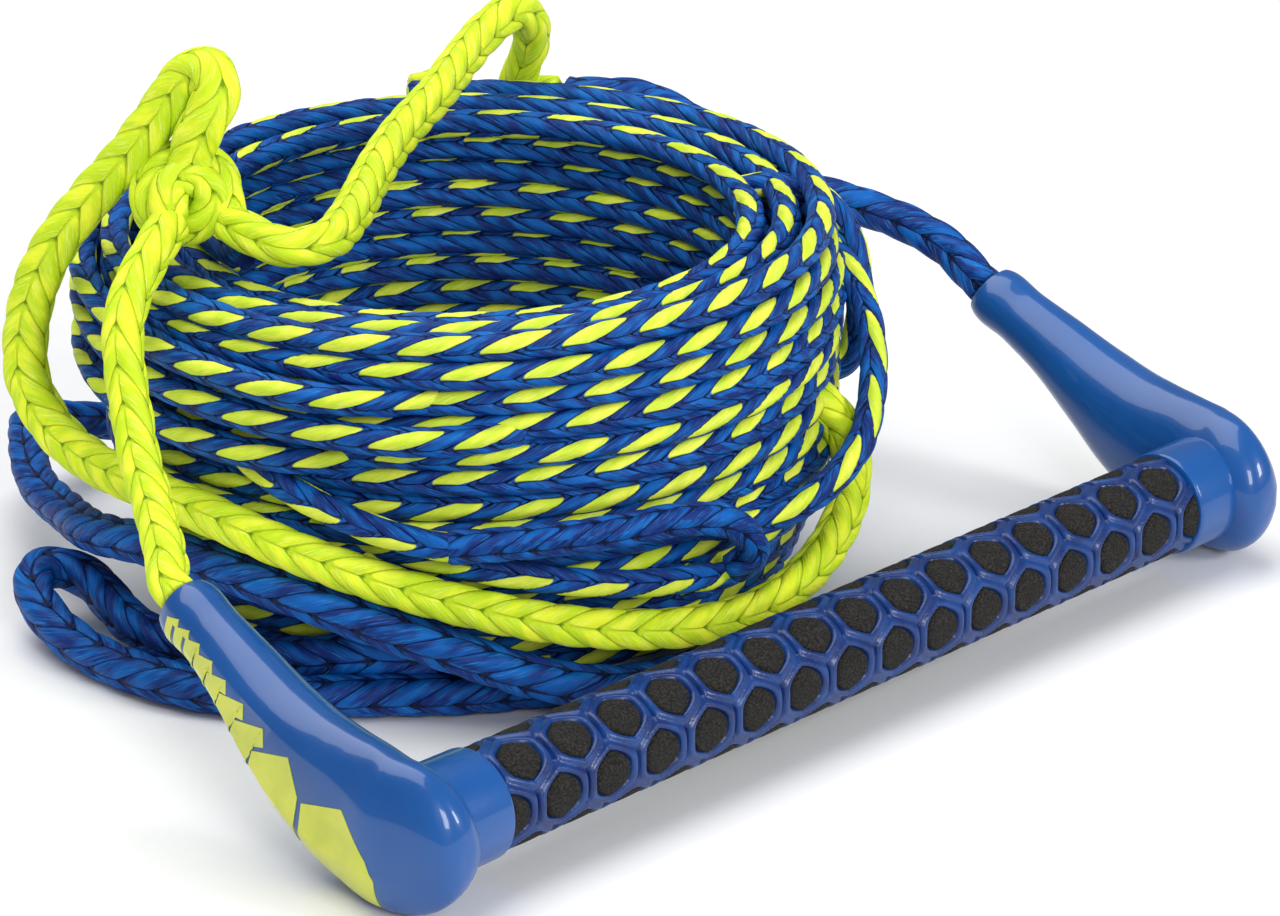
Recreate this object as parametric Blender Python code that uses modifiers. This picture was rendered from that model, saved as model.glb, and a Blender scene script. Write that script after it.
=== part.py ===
"""Water-ski tow rope handle: a floating bar with a honeycomb grip, two moulded end covers that
hold the ends of the bridle, and the tow line coiled behind it. Metres, +Z up. The bar lies along
X, the cover arms point to +Y, and everything stands on z = 0."""
from math import atan2, cos, pi, radians, sin, sqrt

import bmesh
import bpy
from mathutils import Matrix, Vector

MM = 0.001
GAP = 0.3                 # running gap between two touching pieces

# bar and grip, millimetres
BAR_Y, BAR_Z = -33.34, 21.0       # axis of the bar
BAR_LENGTH = 330.0                # a 13 inch bar
BAR_R, BAR_WALL = 10.0, 2.0
GRIP_HALF = 134.0                 # the grip ends where the cover collars begin
FOAM_R = 12.4
WEB_INNER_R, WEB_R = 12.8, 14.0
CELL_ROWS, CELLS_PER_ROW = 6, 15  # honeycomb cells round the bar and along it
WINDOW_R = 6.6                    # corner radius of a honeycomb window
CORE_HALF = 118.0                 # foam core that floats the bar
PLUG_INNER, PLUG_OUTER = 118.4, 145.0

# covers, millimetres: stations along the arm of the right cover, as distance behind the bar's
# axis, height, half height across the arm, innermost x and outermost x
COVER_STATIONS = [(-20.6, 21.0, 4.5, 154.5, 162.5), (-19.0, 21.0, 9.3, 151.0, 165.5),
                  (-15.0, 21.0, 14.7, 148.5, 168.0), (-8.0, 21.0, 19.4, 147.3, 169.5),
                  (0.0, 21.0, 21.1, 147.0, 170.0), (14.0, 23.2, 20.6, 147.0, 170.0),
                  (29.0, 28.4, 17.6, 147.0, 170.0), (44.0, 36.4, 13.2, 147.3, 169.3),
                  (59.0, 45.2, 10.0, 147.8, 167.4), (72.0, 51.6, 8.6, 148.0, 165.2),
                  (84.0, 57.0, 8.0, 148.0, 164.0)]
COVER_WALL = 2.1
COLLAR_R = 14.3
COLLAR_BORE = 10.4
HOLE_X = 157.0                    # where the rope crosses the bar
ROPE_BORE_R = 5.4                 # cross hole in the bar
BUSH_INNER_R, BUSH_R, BUSH_FLANGE_R = 4.3, 5.0, 6.6
ROPE_CORE_R = 3.6                 # the rope is squeezed where it passes through the bar
WASHER_R, WASHER_THICK = 6.6, 1.2
MOUTH_R = 6.1
FILM_THICK = 0.4

# rope diameters, millimetres
LIME_D, BLUE_D, LOOP_D = 10.0, 11.5, 9.0

# the coiled line: a ring about this point, with its half section as (radius, height)
COIL_X, COIL_Y = 2.0, 108.0
COIL_SECTION = [(98, 113), (104, 105), (104, 48), (98, 30), (91, 15), (88, 0.1),
                (76, 0.1), (74, 14), (74, 104), (79, 113)]
KNOT_CENTRE, KNOT_R = (-79.0, 134.0, 126.4), 13.0

# routes of the ropes, millimetres, picked by hand
LEFT_LEG = [(-156.0, 51.56, 57.4), (-155.8, 56.6, 59.7), (-150.5, 63.5, 62), (-139.5, 80.5, 68),
            (-132, 95, 77), (-128, 102, 85), (-124, 109, 95), (-120, 114, 104),
            (-112, 119, 112), (-101, 123, 119), (-90.6, 127.6, 123.4)]
CROSS_LEG = [(-75.9, 121.6, 121.4), (-75.5, 111, 119.6), (-73, 100, 118.6), (-62, 98, 118),
             (-45, 107, 118), (-16, 127, 120), (6, 140, 122), (27, 149, 125), (48, 159, 129),
             (63, 164, 133), (75, 166, 135), (83, 167.5, 130), (87, 171, 121), (88, 176, 112),
             (89, 179, 105), (92.4, 175.6, 103.2), (96.4, 168.4, 103.6)]
RIGHT_LEG = [(97.3, 166.8, 103.7), (102.6, 157, 104.3), (114, 152, 102), (121, 142, 97),
             (124, 129, 91), (127, 115, 86), (132, 104, 81.5), (141, 95, 77.5), (148, 88, 74),
             (153.5, 80, 70.5), (157, 68, 65.5), (156.3, 58.6, 60.9), (156.0, 51.56, 57.4)]
LIME_TAIL = [(-80.0, 131.0, 139.6), (-79, 126, 150), (-76, 123.5, 160), (-74, 128, 168.5),
             (-77, 136.5, 165), (-83, 143.5, 152), (-89, 151.5, 138), (-95, 159, 125),
             (-101, 165, 112), (-103, 171.5, 98), (-104, 174.5, 82), (-105, 173, 69),
             (-104.5, 164, 58), (-107, 145, 54), (-109, 121, 54), (-108, 96, 53), (-101, 68, 48),
             (-87, 43, 41), (-64, 21.5, 32), (-39, 8, 25), (-13, 0.5, 21), (8, -2.0, 21.5),
             (24, 0.5, 24), (40, 5, 29), (50, 9, 36), (53, 10.5, 46), (52, 10, 58)]
BOAT_END = [(100, 168, 6.2), (78, 197, 6.2), (45, 221, 6.4), (5, 232, 9), (-30, 237, 17),
            (-54, 234, 25), (-69, 219, 27), (-83, 199, 25), (-95, 170, 27), (-107, 144, 33),
            (-110, 118, 38), (-107.5, 84, 39), (-97, 54, 33.5), (-79.5, 33, 24),
            (-60, 19.5, 14), (-41, 11, 8), (-20, 5.5, 6.4), (4, 3, 6.2)]
BOAT_LOOP = [(-73.5, 43.4, 18.2), (-83, 57.2, 17), (-90.5, 73, 13), (-98, 89, 10),
             (-104, 103, 9), (-107, 117, 9), (-107.5, 130, 10.5), (-105, 142, 13),
             (-103.5, 152, 15.5), (-106, 160, 17), (-111.5, 163, 17.5), (-117.5, 159.5, 15.5),
             (-121.5, 150, 12), (-123, 138, 8.5), (-122.5, 124, 6.2), (-121, 106, 6.2),
             (-114.5, 86, 6.2), (-101, 68, 6.2), (-85, 54, 6.2), (-71, 41.0, 6.2),
             (-56.5, 31.0, 6.2), (-44, 23.8, 6.2)]
TAKE_OFF = [(-81, 33, 54), (-69, 23, 54.5), (-56, 13.5, 55), (-42, 5.5, 55.5), (-26, -0.5, 55.5),
            (-11, -3.0, 51), (-3, -3.0, 44), (0, -1.5, 37.5), (-4, 3, 32.5)]
SPLICE_TAIL = [(80.0, 191.0, 107.5), (73, 195.0, 107.0), (65, 199.5, 105.5)]


def clear_scene():
    for obj in list(bpy.data.objects):
        bpy.data.objects.remove(obj)


def new_collection(name):
    collection = bpy.data.collections.new(name)
    bpy.context.scene.collection.children.link(collection)
    return collection


clear_scene()
PARTS = new_collection("tow_rope_handle")
CUTTERS = new_collection("cutters")


def material(name, colour, roughness, metallic=0.0):
    mat = bpy.data.materials.new(name)
    mat.use_nodes = True
    shader = mat.node_tree.nodes["Principled BSDF"]
    shader.inputs["Base Color"].default_value = (*colour, 1.0)
    shader.inputs["Roughness"].default_value = roughness
    shader.inputs["Metallic"].default_value = metallic
    return mat


ALUMINIUM = material("bar_aluminium", (0.72, 0.73, 0.75), 0.35, 1.0)
FOAM = material("grip_foam", (0.035, 0.032, 0.030), 0.9)
RUBBER = material("web_rubber", (0.015, 0.055, 0.42), 0.55)
VINYL = material("cover_vinyl", (0.010, 0.070, 0.36), 0.25)
WHITE_FOAM = material("float_foam", (0.80, 0.80, 0.76), 0.9)
NYLON = material("bush_nylon", (0.75, 0.75, 0.72), 0.5)
STEEL = material("washer_steel", (0.60, 0.60, 0.60), 0.3, 1.0)
LIME_ROPE = material("lime_rope", (0.66, 0.80, 0.02), 0.6)
BLUE_ROPE = material("blue_rope", (0.010, 0.050, 0.33), 0.6)
LIME_FILM = material("lime_film", (0.55, 0.62, 0.04), 0.3)


def place(name, mesh, mat, collection=PARTS, smooth=True):
    """Link a mesh as one named object with one material."""
    obj = bpy.data.objects.new(name, mesh)
    collection.objects.link(obj)
    mesh.name = name
    if mat:
        mesh.materials.clear()
        mesh.materials.append(mat)
    if smooth:
        mesh.shade_smooth()
        mesh.set_sharp_from_angle(angle=radians(40))
    if collection is CUTTERS:
        obj.hide_render = True
        obj.display_type = "WIRE"
    return obj


def evaluated_mesh(obj):
    """The object's mesh with its modifiers, in world space; the object itself is removed."""
    mesh = bpy.data.meshes.new_from_object(obj.evaluated_get(bpy.context.evaluated_depsgraph_get()))
    mesh.transform(obj.matrix_world)
    bpy.data.objects.remove(obj)
    return mesh


def bar_axis_frame(x):
    """A frame whose Z axis runs along the bar, centred on the bar at x millimetres."""
    return Matrix.Translation(Vector((x, BAR_Y, BAR_Z)) * MM) @ Matrix.Rotation(pi / 2, 4, "Y")


def rod(name, radius, x0, x1, mat, collection=PARTS, segments=24):
    """A solid cylinder on the bar's axis from x0 to x1 millimetres."""
    bm = bmesh.new()
    bmesh.ops.create_cone(bm, cap_ends=True, segments=segments, radius1=radius * MM,
                          radius2=radius * MM, depth=(x1 - x0) * MM,
                          matrix=bar_axis_frame((x0 + x1) / 2))
    mesh = bpy.data.meshes.new(name)
    bm.to_mesh(mesh)
    bm.free()
    return place(name, mesh, mat, collection)


def cut(obj, cutter, operation="DIFFERENCE"):
    boolean = obj.modifiers.new(cutter.name, "BOOLEAN")
    boolean.operation = operation
    boolean.object = cutter


def turned(name, profile, mat, matrix, steps=24, collection=PARTS):
    """A turned solid: a closed (radius, height) outline in millimetres, swept about matrix's Z."""
    mesh = bpy.data.meshes.new(name)
    count = len(profile)
    closed = all(r > 0 for r, _ in profile)
    edges = [(i, i + 1) for i in range(count - 1)] + ([(count - 1, 0)] if closed else [])
    mesh.from_pydata([(r * MM, 0, z * MM) for r, z in profile], edges, [])
    obj = place(name, mesh, None, collection, smooth=False)
    screw = obj.modifiers.new("turn", "SCREW")
    screw.steps = screw.render_steps = steps
    screw.use_merge_vertices = True
    screw.merge_threshold = 0.00001
    obj.matrix_world = matrix
    bpy.context.view_layer.update()
    return place(name, evaluated_mesh(obj), mat, collection)


def smooth_route(points, spacing):
    """Points every `spacing` millimetres along a centripetal Catmull-Rom curve through `points`."""
    knots = [Vector(p) for p in points]
    knots = [2 * knots[0] - knots[1]] + knots + [2 * knots[-1] - knots[-2]]
    dense = []
    for p0, p1, p2, p3 in zip(knots, knots[1:], knots[2:], knots[3:]):
        t1 = sqrt((p1 - p0).length)
        t2 = t1 + sqrt((p2 - p1).length)
        t3 = t2 + sqrt((p3 - p2).length)
        for step in range(24):
            t = t1 + (t2 - t1) * step / 24
            a1 = p0.lerp(p1, t / t1)
            a2 = p1.lerp(p2, (t - t1) / (t2 - t1))
            a3 = p2.lerp(p3, (t - t2) / (t3 - t2))
            b1, b2 = a1.lerp(a2, t / t2), a2.lerp(a3, (t - t1) / (t3 - t1))
            dense.append(b1.lerp(b2, (t - t1) / (t2 - t1)))
    dense.append(knots[-2])
    travelled = [0.0]
    for a, b in zip(dense, dense[1:]):
        travelled.append(travelled[-1] + (b - a).length)
    count = max(2, round(travelled[-1] / spacing))
    route, j = [], 0
    for i in range(count + 1):
        target = travelled[-1] * i / count
        while j < len(dense) - 2 and travelled[j + 1] < target:
            j += 1
        share = (target - travelled[j]) / (travelled[j + 1] - travelled[j])
        route.append(dense[j].lerp(dense[j + 1], share))
    return route


def rope_tube(name, points, diameter, mat, spacing=None, ends=(1.0, 1.0), resolution=2):
    """A plain round tube along a smooth route; `ends` scales the radius at the two ends."""
    route = smooth_route(points, spacing or 2 * diameter)
    curve = bpy.data.curves.new(name, "CURVE")
    curve.dimensions = "3D"
    curve.bevel_depth = diameter / 2 * MM
    curve.bevel_resolution = resolution
    curve.use_fill_caps = True
    spline = curve.splines.new("POLY")
    spline.points.add(len(route) - 1)
    for i, (point, at) in enumerate(zip(spline.points, route)):
        share = i / (len(route) - 1)
        point.co = (*(at * MM), 1)
        point.radius = ends[0] * (1 - share) + ends[1] * share
    obj = bpy.data.objects.new(name, curve)
    PARTS.objects.link(obj)
    curve.materials.append(mat)
    return obj


# bar, floats and grip -------------------------------------------------------------------------

def make_bar():
    """Aluminium tube, with a hole right through near each end for the bridle rope."""
    half = BAR_LENGTH / 2
    tube = rod("bar_tube", BAR_R, -half, half, ALUMINIUM, segments=32)
    cut(tube, rod("bar_bore", BAR_R - BAR_WALL, -half - 1, half + 1, None, CUTTERS, segments=32))
    for side, x in (("left", -HOLE_X), ("right", HOLE_X)):
        frame = Matrix.Translation(Vector((x, BAR_Y, BAR_Z)) * MM) @ Matrix.Rotation(pi / 2, 4, "X")
        profile = [(0, 20), (ROPE_BORE_R, 20), (ROPE_BORE_R, -20), (0, -20)]
        cut(tube, turned(side + "_cross_hole", profile, None, frame, steps=16, collection=CUTTERS))


def make_floats():
    """A foam core in the bar, and a plug at each end of it that keeps the water out."""
    rod("float_core", BAR_R - BAR_WALL - GAP, -CORE_HALF, CORE_HALF, WHITE_FOAM, segments=16)
    rod("left_float_plug", BAR_R - BAR_WALL - GAP, -PLUG_OUTER, -PLUG_INNER, NYLON, segments=16)
    rod("right_float_plug", BAR_R - BAR_WALL - GAP, PLUG_INNER, PLUG_OUTER, NYLON, segments=16)


def make_grip():
    """A foam sleeve glued on the bar, and a rubber honeycomb moulded over it."""
    foam = rod("foam_sleeve", FOAM_R, -GRIP_HALF, GRIP_HALF, FOAM, segments=24)
    cut(foam, rod("foam_bore", BAR_R + GAP, -GRIP_HALF - 1, GRIP_HALF + 1, None, CUTTERS, segments=24))
    web = rod("grip_web", WEB_R, -GRIP_HALF, GRIP_HALF, RUBBER, segments=24)
    cut(web, rod("web_bore", WEB_INNER_R, -GRIP_HALF - 1, GRIP_HALF + 1, None, CUTTERS, segments=24))
    bm = bmesh.new()
    pitch = 2 * GRIP_HALF / CELLS_PER_ROW
    for row in range(CELL_ROWS):
        around = Matrix.Rotation(2 * pi * row / CELL_ROWS, 4, "X")
        shift = 0.5 * (row % 2)
        for cell in range(CELLS_PER_ROW - row % 2):
            x = -GRIP_HALF + pitch * (cell + 0.5 + shift)
            frame = Matrix.Translation(Vector((x, BAR_Y, BAR_Z)) * MM) @ around
            bmesh.ops.create_cone(bm, cap_ends=True, segments=6, radius1=WINDOW_R * 0.8 * MM,
                                  radius2=WINDOW_R * MM, depth=5 * MM,
                                  matrix=frame @ Matrix.Translation((0, 0, WEB_R * MM)))
    mesh = bpy.data.meshes.new("windows")
    bm.to_mesh(mesh)
    bm.free()
    cut(web, place("windows", mesh, None, CUTTERS, smooth=False))


# covers and what they hold --------------------------------------------------------------------

def arm_section(y, z, half, x_in, x_out, tilt, shrink, flat):
    """One closed outline across the arm: flat on the outer side, rounded on top and inside."""
    half, x_in, x_out = half - shrink, x_in + shrink, x_out - shrink
    x_mid = x_out - 0.42 * (x_out - x_in)
    outline = [(x_out, flat * half), (x_out, -flat * half)]
    for i in range(1, 5):        # lower outer corner, down to the lowest point
        a = pi / 2 * i / 4
        outline.append((x_mid + (x_out - x_mid) * cos(a), -half * (flat + (1 - flat) * sin(a))))
    for i in range(1, 8):        # round the inner side, up to the highest point
        a = pi * i / 8
        outline.append((x_mid - (x_mid - x_in) * sin(a), -half * cos(a)))
    for i in range(4, 0, -1):    # upper outer corner
        a = pi / 2 * i / 4
        outline.append((x_mid + (x_out - x_mid) * cos(a), half * (flat + (1 - flat) * sin(a))))
    return [Vector((x, BAR_Y + y - p * sin(tilt), z + p * cos(tilt))) * MM for x, p in outline]


def arm_loft(name, side, shrink, first, overrun, mat, collection):
    """A closed loft through the cover's stations; `shrink` moves its wall inwards."""
    stations = COVER_STATIONS[first:]
    bm = bmesh.new()
    rings = []
    for i, (y, z, half, x_in, x_out) in enumerate(stations):
        before, after = stations[max(i - 1, 0)], stations[min(i + 1, len(stations) - 1)]
        tilt = atan2(after[1] - before[1], after[0] - before[0])
        flat = 0.55 if y < 60 else 0.3
        last = i == len(stations) - 1
        if i == 0 and shrink:
            y += shrink
        if last:
            y, z = y + overrun * cos(tilt), z + overrun * sin(tilt)
            flat = 0.12
            if shrink:
                half, x_in, x_out = MOUTH_R, 156 - MOUTH_R, 156 + MOUTH_R
        outline = arm_section(y, z, half, x_in, x_out, tilt, 0 if last and shrink else shrink, flat)
        rings.append([bm.verts.new((side * p.x, p.y, p.z)) for p in outline])
    for near, far in zip(rings, rings[1:]):
        for j in range(len(near)):
            k = (j + 1) % len(near)
            bm.faces.new((near[j], near[k], far[k], far[j]))
    bm.faces.new(rings[0])
    bm.faces.new(rings[-1])
    bmesh.ops.recalc_face_normals(bm, faces=bm.faces)
    mesh = bpy.data.meshes.new(name)
    bm.to_mesh(mesh)
    bm.free()
    return place(name, mesh, mat, collection)


def make_cover(name, side):
    """Moulded vinyl shell: a collar round the bar, a bulb over its end, and an arm for the rope."""
    cover = arm_loft(name + "_cover", side, 0.0, 0, 0.0, VINYL, PARTS)
    ends = sorted((side * (GRIP_HALF + GAP), side * 155.0))
    cut(cover, rod(name + "_collar", COLLAR_R, *ends, None, CUTTERS), "UNION")
    cut(cover, arm_loft(name + "_hollow", side, COVER_WALL, 1, 3.0, None, CUTTERS))
    ends = sorted((side * (GRIP_HALF - 4), side * (BAR_LENGTH / 2 + 0.6)))
    cut(cover, rod(name + "_collar_bore", COLLAR_BORE, *ends, None, CUTTERS))


def make_rope_end(name, side, mat):
    """Inside the cover: a bush in the bar's cross hole, the squeezed rope, and its melted button
    behind a steel washer."""
    centre = Vector((side * HOLE_X, BAR_Y, BAR_Z)) * MM
    across = Matrix.Translation(centre) @ Matrix.Rotation(-pi / 2, 4, "X")
    reach = BAR_R + GAP
    flange = [(BUSH_INNER_R, reach + 1.5), (BUSH_FLANGE_R, reach + 1.5), (BUSH_FLANGE_R, reach),
              (BUSH_R, reach), (BUSH_R, -reach), (BUSH_INNER_R, -reach)]
    turned(name + "_rope_bush", flange, NYLON, across, steps=16)
    face = reach + GAP
    washer = [(BUSH_INNER_R, -face), (WASHER_R, -face), (WASHER_R, -face - WASHER_THICK),
              (BUSH_INNER_R, -face - WASHER_THICK)]
    turned(name + "_rope_washer", washer, STEEL, across, steps=16)
    seat = face + WASHER_THICK + GAP
    button = [(0, -seat), (5.6, -seat), (5.6, -seat - 1.6), (4.2, -seat - 3.2), (0, -seat - 3.8)]
    turned(name + "_rope_button", button, mat, across, steps=16)
    x = side * HOLE_X
    route = [(x, BAR_Y - seat + GAP, BAR_Z), (x, BAR_Y, BAR_Z), (x, BAR_Y + 13, BAR_Z)]
    route += [(side * 157.2, BAR_Y + y, z) for y, z, *_ in COVER_STATIONS[6:-1]]
    route.append((side * 156.0, BAR_Y + 84.0, 57.0))
    rope_tube(name + "_rope_end", route, 2 * ROPE_CORE_R, mat, spacing=6.5, ends=(1.0, 1.3))


def make_film(name, side):
    """Printed film on the flat outer face of the cover, a thin strip that follows the arm."""
    bm = bmesh.new()
    rings = []
    stations = COVER_STATIONS[4:-1]
    for i, (y, z, half, x_in, x_out) in enumerate(stations):
        before, after = stations[max(i - 1, 0)], stations[min(i + 1, len(stations) - 1)]
        tilt = atan2(after[1] - before[1], after[0] - before[0])
        wide = half * (0.5 if y < 60 else 0.25)
        back, front = x_out + GAP, x_out + GAP + FILM_THICK
        corners = [(back, wide), (front, wide), (front, -wide), (back, -wide)]
        corners = [(side * x, BAR_Y + y - p * sin(tilt), z + p * cos(tilt)) for x, p in corners]
        rings.append([bm.verts.new(Vector(corner) * MM) for corner in corners])
    for near, far in zip(rings, rings[1:]):
        for j in range(4):
            k = (j + 1) % 4
            bm.faces.new((near[j], near[k], far[k], far[j]))
    bm.faces.new(rings[0])
    bm.faces.new(rings[-1])
    bmesh.ops.recalc_face_normals(bm, faces=bm.faces)
    mesh = bpy.data.meshes.new(name)
    bm.to_mesh(mesh)
    bm.free()
    place(name + "_cover_film", mesh, LIME_FILM, smooth=False)


# ropes ----------------------------------------------------------------------------------------

def make_knot():
    """The bridle's knot, as one round solid lying on the coil."""
    bm = bmesh.new()
    bmesh.ops.create_uvsphere(bm, u_segments=14, v_segments=9, radius=KNOT_R * MM,
                              matrix=Matrix.Translation(Vector(KNOT_CENTRE) * MM))
    mesh = bpy.data.meshes.new("bridle_knot")
    bm.to_mesh(mesh)
    bm.free()
    place("bridle_knot", mesh, LIME_ROPE)


def make_ropes():
    rope_tube("left_bridle_leg", LEFT_LEG, LIME_D, LIME_ROPE, spacing=10)
    make_knot()
    rope_tube("bridle_cross_leg", CROSS_LEG, LIME_D, LIME_ROPE, spacing=11)
    rope_tube("splice_tail", SPLICE_TAIL, LIME_D - 1, LIME_ROPE, spacing=8)
    rope_tube("right_bridle_leg", RIGHT_LEG, BLUE_D, BLUE_ROPE, spacing=11)
    rope_tube("lime_tail", LIME_TAIL, LIME_D, LIME_ROPE, spacing=12, ends=(1.25, 0.95))
    rope_tube("boat_end_rope", BOAT_END, BLUE_D, BLUE_ROPE)
    rope_tube("boat_end_loop", BOAT_LOOP, BLUE_D, BLUE_ROPE, spacing=12)
    rope_tube("take_off_loop", TAKE_OFF, LOOP_D, BLUE_ROPE, spacing=10)
    centre = Matrix.Translation(Vector((COIL_X, COIL_Y, 0)) * MM)
    turned("mainline_coil", COIL_SECTION, BLUE_ROPE, centre, steps=48)


make_bar()
make_floats()
make_grip()
for cover_name, cover_side, rope in (("left", -1, LIME_ROPE), ("right", 1, BLUE_ROPE)):
    make_cover(cover_name, cover_side)
    make_rope_end(cover_name, cover_side, rope)
    make_film(cover_name, cover_side)
make_ropes()
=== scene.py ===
"""A water-ski tow handle with its braided line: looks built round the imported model."""

from math import cos, pi, radians, sin

import bmesh
import bpy
import numpy as np
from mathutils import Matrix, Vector
from mathutils.bvhtree import BVHTree


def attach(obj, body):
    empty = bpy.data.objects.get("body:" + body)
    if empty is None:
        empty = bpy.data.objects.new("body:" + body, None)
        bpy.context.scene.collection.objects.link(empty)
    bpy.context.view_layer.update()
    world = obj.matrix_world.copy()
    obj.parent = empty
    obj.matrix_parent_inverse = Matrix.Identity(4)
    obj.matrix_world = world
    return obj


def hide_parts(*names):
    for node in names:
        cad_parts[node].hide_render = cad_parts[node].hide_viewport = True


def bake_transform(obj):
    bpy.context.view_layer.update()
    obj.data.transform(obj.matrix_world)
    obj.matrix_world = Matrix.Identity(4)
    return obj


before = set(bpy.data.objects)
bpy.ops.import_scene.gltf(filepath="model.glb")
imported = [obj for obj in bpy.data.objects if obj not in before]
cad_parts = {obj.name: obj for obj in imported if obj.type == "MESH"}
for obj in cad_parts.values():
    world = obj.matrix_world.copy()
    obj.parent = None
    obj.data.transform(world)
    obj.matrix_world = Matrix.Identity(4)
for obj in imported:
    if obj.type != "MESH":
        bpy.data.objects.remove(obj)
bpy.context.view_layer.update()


# Camera and studio: a long lens over the left front corner of the handle, a pale paper floor,
# a large soft box overhead, a small one at the front left and the front right, and an even room.
LOOK_AT = Vector((-0.0343, 0.0070, 0.0734))

camera_data = bpy.data.cameras.new("camera")
camera_data.lens = 160.05
camera_data.sensor_width = 36.0
camera_data.clip_end = 20.0
camera = bpy.data.objects.new("camera", camera_data)
bpy.context.scene.collection.objects.link(camera)
camera.location = (-1.0225, -0.9640, 0.6495)
camera.rotation_euler = (LOOK_AT - camera.location).to_track_quat("-Z", "Y").to_euler()
bpy.context.scene.camera = camera


def soft_box(name, place, target, width, height, power):
    """An area light at `place`, turned to `target`."""
    data = bpy.data.lights.new(name, "AREA")
    data.shape = "RECTANGLE"
    data.size = width
    data.size_y = height
    data.energy = power
    lamp = bpy.data.objects.new(name, data)
    bpy.context.scene.collection.objects.link(lamp)
    lamp.location = place
    lamp.rotation_euler = (Vector(target) - Vector(place)).to_track_quat("-Z", "Y").to_euler()


soft_box("overhead_box", (-0.15, 0.45, 1.7), (0, 0.03, 0.05), 2.2, 1.5, 33)
soft_box("front_box", (-0.9, -1.5, 0.9), (0, 0, 0.05), 0.5, 0.7, 14)
soft_box("right_box", (0.55, -1.35, 0.75), (0, 0, 0.05), 0.34, 0.5, 11)

world = bpy.data.worlds.new("studio_room")
world.use_nodes = True
room = world.node_tree.nodes["Background"]
room.inputs["Color"].default_value = (0.97, 0.98, 1.0, 1)
room.inputs["Strength"].default_value = 0.30
bpy.context.scene.world = world
bpy.context.scene.view_settings.view_transform = "Standard"


class Wire:
    """One output of a node; arithmetic on wires adds Math nodes."""

    def __init__(self, bench, socket):
        self.bench = bench
        self.socket = socket

    def __add__(self, other):
        return self.bench.maths("ADD", self, other)

    def __sub__(self, other):
        return self.bench.maths("SUBTRACT", self, other)

    def __rsub__(self, other):
        return self.bench.maths("SUBTRACT", other, self)

    def __mul__(self, other):
        return self.bench.maths("MULTIPLY", self, other)

    def __truediv__(self, other):
        return self.bench.maths("DIVIDE", self, other)

    def __mod__(self, other):
        return self.bench.maths("FLOORED_MODULO", self, other)

    __radd__ = __add__
    __rmul__ = __mul__


class Bench:
    """Builds nodes in one tree."""

    def __init__(self, tree):
        self.tree = tree

    def node(self, kind, settings=None, values=None, out=0):
        """Add a node: its settings first, then the values or wires of its inputs."""
        made = self.tree.nodes.new(kind)
        for key, value in (settings or {}).items():
            setattr(made, key, value)
        for key, value in (values or {}).items():
            if isinstance(value, Wire):
                self.tree.links.new(value.socket, made.inputs[key])
            else:
                made.inputs[key].default_value = value
        return Wire(self, made.outputs[out])

    def maths(self, operation, *values):
        return self.node("ShaderNodeMath", {"operation": operation}, dict(enumerate(values)))

    def wave(self, angle):
        return self.maths("SINE", angle)

    def step(self, value, low, high):
        """0 below low, 1 above high, smooth between."""
        limits = {"Value": value, "From Min": low, "From Max": high}
        return self.node("ShaderNodeMapRange", {"interpolation_type": "SMOOTHSTEP"}, limits)

    def vector(self, x, y, z):
        return self.node("ShaderNodeCombineXYZ", None, {"X": x, "Y": y, "Z": z})

    def split(self, vector):
        parts = self.node("ShaderNodeSeparateXYZ", None, {"Vector": vector})
        outputs = parts.socket.node.outputs
        return [Wire(self, outputs[i]) for i in range(3)]

    def place(self):
        """Where a point lies on the object, in metres."""
        return self.node("ShaderNodeTexCoord", out=3)

    def noise(self, vector, scale, detail):
        return self.node("ShaderNodeTexNoise", None, {"Vector": vector, "Scale": scale, "Detail": detail})

    def blend(self, share, a, b):
        """Mix of two colours."""
        a, b = ((*c, 1) if isinstance(c, tuple) else c for c in (a, b))
        return self.node("ShaderNodeMix", {"data_type": "RGBA"}, {0: share, 6: a, 7: b}, out=2)

    def bump(self, height, distance, strength):
        values = {"Height": height, "Distance": distance, "Strength": strength}
        return self.node("ShaderNodeBump", None, values)


def finish_material(name, draw, **constants):
    """A Principled material; `draw` returns what varies, `constants` are the same all over."""
    material = bpy.data.materials.new(name)
    material.use_nodes = True
    bench = Bench(material.node_tree)
    shader = material.node_tree.nodes["Principled BSDF"]
    for key, value in constants.items():
        shader.inputs[key.replace("_", " ")].default_value = value
    for key, wire in draw(bench).items():
        bench.tree.links.new(wire.socket, shader.inputs[key])
    return material


def paper_floor(bench):
    grain = bench.noise(bench.place(), 60.0, 4.0)
    return {"Base Color": bench.blend(grain, (0.86, 0.86, 0.87), (0.90, 0.90, 0.91))}


FLOOR_HALF = 6.0
FLOOR_DROP = 0.0004        # keeps the paper just clear of what lies on it

floor_mesh = bpy.data.meshes.new("paper_floor")
floor_corners = [(x * FLOOR_HALF, y * FLOOR_HALF, 0) for x, y in ((-1, -1), (1, -1), (1, 1), (-1, 1))]
floor_mesh.from_pydata(floor_corners, [], [(0, 1, 2, 3)])
floor_mesh.materials.append(finish_material("floor_paper", paper_floor, Roughness=0.8))
floor = bpy.data.objects.new("paper_floor", floor_mesh)
floor.location.z = -FLOOR_DROP
bpy.context.scene.collection.objects.link(floor)


# The braid: every rope here is hollow-braided polyethylene, four strands one way round and four
# the other, each over two and under two, so that they lie in columns of leaning leaves. One formula
# gives the strands to the mesh and to the colours, dye and painted light alike. Distance along the rope is in
# lays.
MM = 0.001
STRANDS = 4
CROWN = 0.85              # how far a strand rises over the crossing ones
BELLY = 1.45              # how round a strand is, on the same scale
FLANK = 0.96              # how far a strand falls away at its sides
LEAN = 0.12               # strands run straighter on top of their column


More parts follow.
